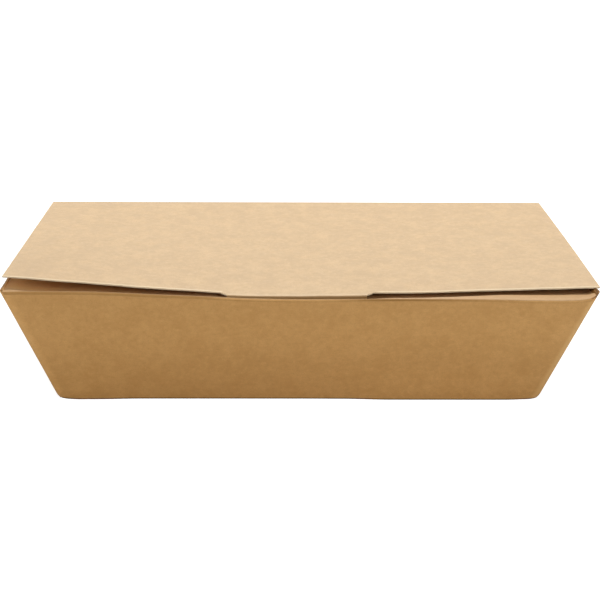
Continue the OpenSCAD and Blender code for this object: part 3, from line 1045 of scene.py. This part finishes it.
def grow(mesh, name, tree, values):
    """Runs a tree on a sheet, and gives the result back as a plain mesh object."""
    data = bpy.data.meshes.new(name)
    mesh.to_mesh(data)
    mesh.free()
    obj = bpy.data.objects.new(name, data)
    bpy.context.collection.objects.link(obj)
    modifier = obj.modifiers.new("Board", "NODES")
    modifier.node_group = tree
    for item in tree.interface.items_tree:
        if item.in_out == "INPUT" and item.name in values:
            modifier[item.identifier] = values[item.name]
    graph = bpy.context.evaluated_depsgraph_get()
    result = bpy.data.meshes.new_from_object(obj.evaluated_get(graph), depsgraph=graph)
    obj.modifiers.remove(modifier)
    obj.data = result
    bpy.data.meshes.remove(data)
    result.name = name
    result.shade_smooth()
    result.set_sharp_from_angle(angle=math.radians(SHARP_DEGREES))
    return obj


def new_material(name):
    """A material and its node tree, still empty."""
    material = bpy.data.materials.new(name)
    material.use_nodes = True
    tree = material.node_tree
    tree.nodes.clear()
    return material, tree


def noise(tree, coords, scale, stretch=(1, 1, 1), detail=2.0, rough=0.5):
    """Even mottle of a size: scale is in cells per metre, and a stretch below 1 draws it out."""
    placed = node(tree, "ShaderNodeMapping", {"Vector": coords, "Scale": stretch}).outputs[0]
    return node(
        tree,
        "ShaderNodeTexNoise",
        {"Vector": placed, "Scale": scale, "Detail": detail, "Roughness": rough},
    ).outputs["Fac"]


def tinted(tree, base, tint, factor, blend="MIX"):
    """A colour with a share of a tint in it."""
    inputs = {"Factor": factor, 6: base, 7: tint}
    return node(tree, "ShaderNodeMix", inputs, data_type="RGBA", blend_type=blend).outputs[2]


def shade(colour, gain, warm=0.0):
    """A lighter or darker colour of the same kind, warmer where warm is above 0."""
    r, g, b = colour
    return (r * gain * (1 + warm), g * gain, b * gain * (1 - 2 * warm), 1.0)


def ramp(tree, value, low, high, bottom=0.0, top=1.0):
    """A value from bottom to top as another goes from low to high, and level beyond."""
    return node(
        tree,
        "ShaderNodeMapRange",
        {"Value": value, "From Min": low, "From Max": high, "To Min": bottom, "To Max": top},
    ).outputs[0]


def attribute(tree, name):
    """A mark that the points of a sheet carry."""
    return node(tree, "ShaderNodeAttribute", attribute_name=name).outputs["Fac"]


def bumped(tree, height, strength, depth, normal=None):
    """Relief of a depth in millimetres, laid over that of another normal."""
    inputs = {"Height": height, "Strength": strength, "Distance": depth * MM}
    if normal is not None:
        inputs["Normal"] = normal
    return node(tree, "ShaderNodeBump", inputs).outputs[0]


def end_material(tree, tone, roughness, normal, gloss):
    """Joins a material's colour, roughness and relief in its shader."""
    shader = node(
        tree,
        "ShaderNodeBsdfPrincipled",
        {"Base Color": tone, "Roughness": roughness, "Normal": normal, "Specular IOR Level": gloss},
    )
    node(tree, "ShaderNodeOutputMaterial", {0: shader.outputs[0]})


def kraft(name, colour, roughness, relief, gloss, crest, mottle=0.12, flap_colour=None):
    """Brown kraft board: soft clouds, patches and flecks, short fibres and hairs drawn out from left to
    right, specks and grain, pale and dark tints read from its marks, for worn crests and pressed folds and
    as painted highlights and painted shade, and a fine felt-like relief."""
    material, tree = new_material(name)
    coords = node(tree, "ShaderNodeTexCoord").outputs["Object"]
    clouds = noise(tree, coords, 60, detail=3.0)
    patches = noise(tree, coords, 150, (1, 0.7, 1), detail=5.0, rough=0.62)
    flecks = noise(tree, coords, 560, (0.85, 0.75, 1), detail=4.0, rough=0.65)
    fibres = noise(tree, coords, 2300, (0.3, 0.8, 1), detail=2.0)
    hairs = noise(tree, coords, 1300, (0.35, 0.8, 1), detail=1.0)
    specks = noise(tree, coords, 900, (0.7, 1, 1), detail=4.0, rough=0.7)
    grain = noise(tree, coords, 3600, detail=2.0, rough=0.6)

    tone = tinted(
        tree, shade(colour, 0.975, 0.01), shade(colour, 1.025), ramp(tree, clouds, 0.3, 0.7)
    )
    # Each layer's pattern, how light and how warm it is, where it starts and is whole, and its share
    layers = (
        (patches, 1 - mottle, 0.03, 0.52, 0.32, 0.9),
        (patches, 1 + mottle, -0.01, 0.50, 0.68, 0.9),
        (flecks, 1.16, -0.03, 0.52, 0.75, 0.8),
        (flecks, 0.84, 0.04, 0.48, 0.28, 0.6),
        (fibres, 0.80, 0.04, 0.55, 0.8, 0.25),
        (hairs, 1.25, -0.04, 0.58, 0.8, 0.25),
        (specks, 0.66, 0.06, 0.66, 0.76, 0.35),
        (grain, 0.76, 0.02, 0.5, 0.75, 0.8),
    )
    for pattern, gain, warm, start, whole, share in layers:
        amount = ramp(tree, pattern, start, whole, 0.0, share)
        tone = tinted(tree, tone, shade(colour, gain, warm), amount)
    if flap_colour:
        # The flaps take their own colour, multiplied over the walls' by their flap mark
        paler = tuple(new / old for new, old in zip(flap_colour, colour)) + (1.0,)
        tone = tinted(tree, tone, paler, attribute(tree, "flap"), "MULTIPLY")
    fold = attribute(tree, "fold")
    # Below 0 the marks darken the board, for pressed folds and as painted shade, and the lowest paint it
    # near black as deep shade
    pressed_and_shaded = maths(tree, "MAXIMUM", maths(tree, "MULTIPLY", fold, -0.7), 0.0)
    tone = tinted(tree, tone, shade(colour, 0.36, 0.2), pressed_and_shaded)
    tone = tinted(tree, tone, shade(colour, 0.1, 0.3), ramp(tree, fold, DEEP_SHADE, -2.0, 0.0, 0.9))
    # Above 0 they paint it paler, for worn crests and as painted highlights
    wear_and_highlight_share = maths(tree, "MULTIPLY", fold, ramp(tree, grain, 0.3, 0.6, 0.6 * crest, crest))
    highlight_and_wear = (*(c * gain for c, gain in zip(colour, (1.3, 1.5, 1.8))), 1.0)
    tone = tinted(tree, tone, highlight_and_wear, maths(tree, "MAXIMUM", wear_and_highlight_share, 0.0))

    felt = maths(
        tree, "ADD", maths(tree, "MULTIPLY", fibres, 0.6), maths(tree, "MULTIPLY", grain, 0.4)
    )
    fine = bumped(tree, felt, relief, 0.06)
    wavy = bumped(tree, clouds, 0.35, 0.5, fine)
    rough = ramp(tree, patches, 0.3, 0.7, roughness - 0.05, roughness + 0.06)
    end_material(tree, tone, rough, wavy, gloss)
    return material


def cut_edge(name, colour, inner_colour=None):
    """The fibrous edge that a die leaves through the board's plies, taking the flaps' paler colour where the
    flap mark is set: on the flaps, and on the left front web's inner layer as a painted highlight.
    """
    material, tree = new_material(name)
    coords = node(tree, "ShaderNodeTexCoord").outputs["Object"]
    plies = noise(tree, coords, 2600, (0.2, 0.2, 2.4), detail=2.0)
    fuzz = noise(tree, coords, 3800, detail=2.0)
    tone = tinted(
        tree, shade(colour, 0.82, 0.03), shade(colour, 1.1, -0.02), ramp(tree, plies, 0.3, 0.7)
    )
    tone = tinted(tree, tone, shade(colour, 0.7, 0.05), ramp(tree, fuzz, 0.58, 0.8, 0.0, 0.5))
    if inner_colour:
        tone = tinted(tree, tone, shade(inner_colour, 1.0), attribute(tree, "flap"))
    # The die rolls the upper corner of the cut, so that it faces a little upward
    facing = node(tree, "ShaderNodeNewGeometry").outputs["Normal"]
    rolled = node(tree, "ShaderNodeVectorMath", {0: facing, 1: (0, 0, 1.7)}, operation="ADD")
    rolled = node(tree, "ShaderNodeVectorMath", {0: rolled.outputs[0]}, operation="NORMALIZE")
    frayed = bumped(tree, fuzz, 0.4, 0.05, rolled.outputs[0])
    end_material(tree, tone, 0.85, frayed, 0.3)
    return material


def board_values(carton, outside, inside, edge):
    """What both trees need to know of the board."""
    return {
        "Board": carton.sizes.board,
        "Outside": outside,
        "Inside": inside,
        "Cut edge": edge,
    }


def shared_inside(finish):
    """The coated inside, which the tray and the lid share."""
    name = "Kraft inside"
    return bpy.data.materials.get(name) or kraft(
        name, finish.inside_colour, roughness=0.42, relief=0.25, gloss=0.5, crest=0.15
    )


class FoldTray(bpy.types.Operator):
    """Folds the tray with its gusset corners, front flap and end flaps"""

    bl_idname = "takeaway_box.fold_tray"
    bl_label = "Fold tray"

    def execute(self, context):
        carton = Carton(context.scene.takeaway_box_sizes)
        finish = context.scene.takeaway_box_finish
        outside = kraft(
            "Kraft walls",
            finish.wall_colour,
            roughness=0.55,
            relief=0.7,
            gloss=0.3,
            crest=0.8,
            mottle=0.08,
            flap_colour=finish.flap_colour,
        )
        edge = cut_edge("Tray cut edge", finish.tray_edge_colour, finish.flap_colour)
        values = board_values(carton, outside, shared_inside(finish), edge)
        tray = grow(fold_tray(carton), "tray_board", board_tree(), values)
        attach(tray, "tray")
        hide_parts("tray")
        return {"FINISHED"}


class FoldLid(bpy.types.Operator):
    """Folds and springs the lid with its tab, hung on the rear wall's crease"""

    bl_idname = "takeaway_box.fold_lid"
    bl_label = "Fold lid"

    def execute(self, context):
        c = Carton(context.scene.takeaway_box_sizes)
        finish = context.scene.takeaway_box_finish
        outside = kraft(
            "Kraft lid", finish.lid_colour, roughness=0.5, relief=0.6, gloss=0.5, crest=0.9
        )
        edge = cut_edge("Lid cut edge", finish.edge_colour)
        # The section's last leg is longer than the tab
        leg = 14 * MM
        values = {
            "Seam": c.settle(c.on_long(1, 0, c.seam_climb, c.half_board)),
            "Hinge": Vector((0, c.hinge_y, c.lid_z + c.rear_rise)),
            "Tab crease": Vector((0, c.tab_fold, c.lid_z)),
            "Tab end": Vector((0, c.tab_fold + leg * c.sin, c.lid_z - leg * c.cos)),
            "Crease radius": c.crease,
            "Half width": LID_SPRING[-1][0] * MM,
            "Spring span": (SPRING_HIGH - SPRING_LOW) * MM,
            "Spring low": SPRING_LOW * MM,
            "Spring depth": c.hinge_y - c.lid_edge,
            "Ripple": 0.35 * MM,
            **board_values(c, outside, shared_inside(finish), edge),
        }
        lid = grow(cut_lid_blank(c), "lid_board", lid_tree(), values)
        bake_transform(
            lid,
            "tray",
            "lid",
            start=(0, c.hinge_y - 0.83 * MM, c.lid_z - 1.58 * MM),
            end=(0, c.hinge_y - 1.43 * MM, c.lid_z - 0.18 * MM),
        )
        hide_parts("lid")
        return {"FINISHED"}


# The camera as fitted to the photograph: how far it looks down, to the right and tilts, in degrees, its
# place in millimetres, and its focal length in pixels of a picture of this width
CAMERA_ANGLES = (16.56, 0.82, 0.32)
CAMERA_PLACE = (-7.7, -607.4, 203.7)
FOCAL_PIXELS = 1566
PICTURE_WIDTH = 600
SENSOR_WIDTH = 36

# Each lamp's name, place, aim, width, height and power
LAMPS = (
    ("Key lamp", (0.05, 0.42, 0.85), (0, 0, 0.03), 0.9, 0.6, 7.4),
    ("Front lamp", (0.6, -1.3, 0.5), (0, -0.05, 0.03), 1.2, 0.7, 6.8),
    ("Left lamp", (-1.0, -0.45, 0.42), (0, -0.05, 0.04), 0.5, 0.3, 2.4),
)


def stand_camera():
    """The camera where the photograph was taken from."""
    pitch, yaw, roll = (math.radians(angle) for angle in CAMERA_ANGLES)
    forward = Vector(
        (math.sin(yaw) * math.cos(pitch), math.cos(yaw) * math.cos(pitch), -math.sin(pitch))
    )
    level = Vector((math.cos(yaw), -math.sin(yaw), 0))
    upright = level.cross(forward)
    right = level * math.cos(roll) + upright * math.sin(roll)
    up = upright * math.cos(roll) - level * math.sin(roll)
    data = bpy.data.cameras.new("Camera")
    data.sensor_width = SENSOR_WIDTH
    data.lens = FOCAL_PIXELS / PICTURE_WIDTH * SENSOR_WIDTH
    data.clip_start, data.clip_end = 0.01, 20
    camera = bpy.data.objects.new("Camera", data)
    rows = [(right[i], up[i], -forward[i], at * MM) for i, at in enumerate(CAMERA_PLACE)]
    camera.matrix_world = Matrix((*rows, (0, 0, 0, 1)))
    bpy.context.collection.objects.link(camera)
    bpy.context.scene.camera = camera


def soft_lamp(name, place, aim, width, height, power):
    """A large soft lamp at a place, aimed at a point."""
    data = bpy.data.lights.new(name, "AREA")
    data.shape = "RECTANGLE"
    data.size, data.size_y, data.energy = width, height, power
    lamp = bpy.data.objects.new(name, data)
    lamp.location = place
    lamp.rotation_euler = (Vector(aim) - Vector(place)).to_track_quat("-Z", "Y").to_euler()
    bpy.context.collection.objects.link(lamp)


def lay_floor():
    """A plain white table that keeps a faint shadow, just below the box."""
    data = bpy.data.meshes.new("table_top")
    half, drop = 2.5, 0.05 * MM
    corners = [(x * half, y * half, -drop) for x, y in ((-1, -1), (1, -1), (1, 1), (-1, 1))]
    data.from_pydata(corners, [], [(0, 1, 2, 3)])
    floor = bpy.data.objects.new("table_top", data)
    bpy.context.collection.objects.link(floor)
    material, tree = new_material("White table")
    matt = node(
        tree, "ShaderNodeBsdfDiffuse", {"Color": (0.62, 0.62, 0.62, 1), "Roughness": 1.0}
    ).outputs[0]
    path = node(tree, "ShaderNodeLightPath").outputs
    seen = maths(tree, "MULTIPLY", path["Is Camera Ray"], 0.8)
    white = node(tree, "ShaderNodeEmission", {"Color": (1, 1, 1, 1), "Strength": seen}).outputs[0]
    mixed = node(tree, "ShaderNodeAddShader", {0: matt, 1: white}).outputs[0]
    node(tree, "ShaderNodeOutputMaterial", {0: mixed})
    data.materials.append(material)


def light_room():
    """A pale room that lights the box softly, and shows white to the camera and in reflections."""
    world = bpy.data.worlds.new("Pale room")
    world.use_nodes = True
    tree = world.node_tree
    tree.nodes.clear()
    path = node(tree, "ShaderNodeLightPath").outputs
    shown = maths(tree, "MAXIMUM", path["Is Camera Ray"], path["Is Glossy Ray"])
    ambient = 0.34
    strength = maths(tree, "MULTIPLY_ADD", shown, 1 - ambient, ambient)
    inputs = {"Color": (1, 1, 1, 1), "Strength": strength}
    room = node(tree, "ShaderNodeBackground", inputs).outputs[0]
    node(tree, "ShaderNodeOutputWorld", {0: room})
    bpy.context.scene.world = world


class SetStudio(bpy.types.Operator):
    """Sets the white table, the soft lamps, the pale room and the camera"""

    bl_idname = "takeaway_box.set_studio"
    bl_label = "Set studio"

    def execute(self, context):
        lay_floor()
        for lamp in LAMPS:
            soft_lamp(*lamp)
        light_room()
        context.scene.view_settings.view_transform = "Standard"
        stand_camera()
        return {"FINISHED"}


class BoxPanel(bpy.types.Panel):
    """Lists the box's sizes, colours and steps"""

    bl_idname = "VIEW3D_PT_takeaway_box"
    bl_label = "Takeaway Box"
    bl_space_type = "VIEW_3D"
    bl_region_type = "UI"
    bl_category = "Takeaway Box"

    def draw(self, context):
        for group in (context.scene.takeaway_box_sizes, context.scene.takeaway_box_finish):
            column = self.layout.column(align=True)
            for name in group.__annotations__:
                column.prop(group, name)
        for step in STEPS:
            self.layout.operator(step.bl_idname)


STEPS = (FoldTray, FoldLid, SetStudio)
CLASSES = (BoxSizes, BoxFinish, *STEPS, BoxPanel)


def register():
    for cls in CLASSES:
        bpy.utils.register_class(cls)
    bpy.types.Scene.takeaway_box_sizes = bpy.props.PointerProperty(type=BoxSizes)
    bpy.types.Scene.takeaway_box_finish = bpy.props.PointerProperty(type=BoxFinish)


def unregister():
    del bpy.types.Scene.takeaway_box_finish
    del bpy.types.Scene.takeaway_box_sizes
    for cls in reversed(CLASSES):
        bpy.utils.unregister_class(cls)


def main():
    register()
    bpy.ops.takeaway_box.fold_tray()
    bpy.ops.takeaway_box.fold_lid()
    bpy.ops.takeaway_box.set_studio()


if __name__ == "__main__":
    main()
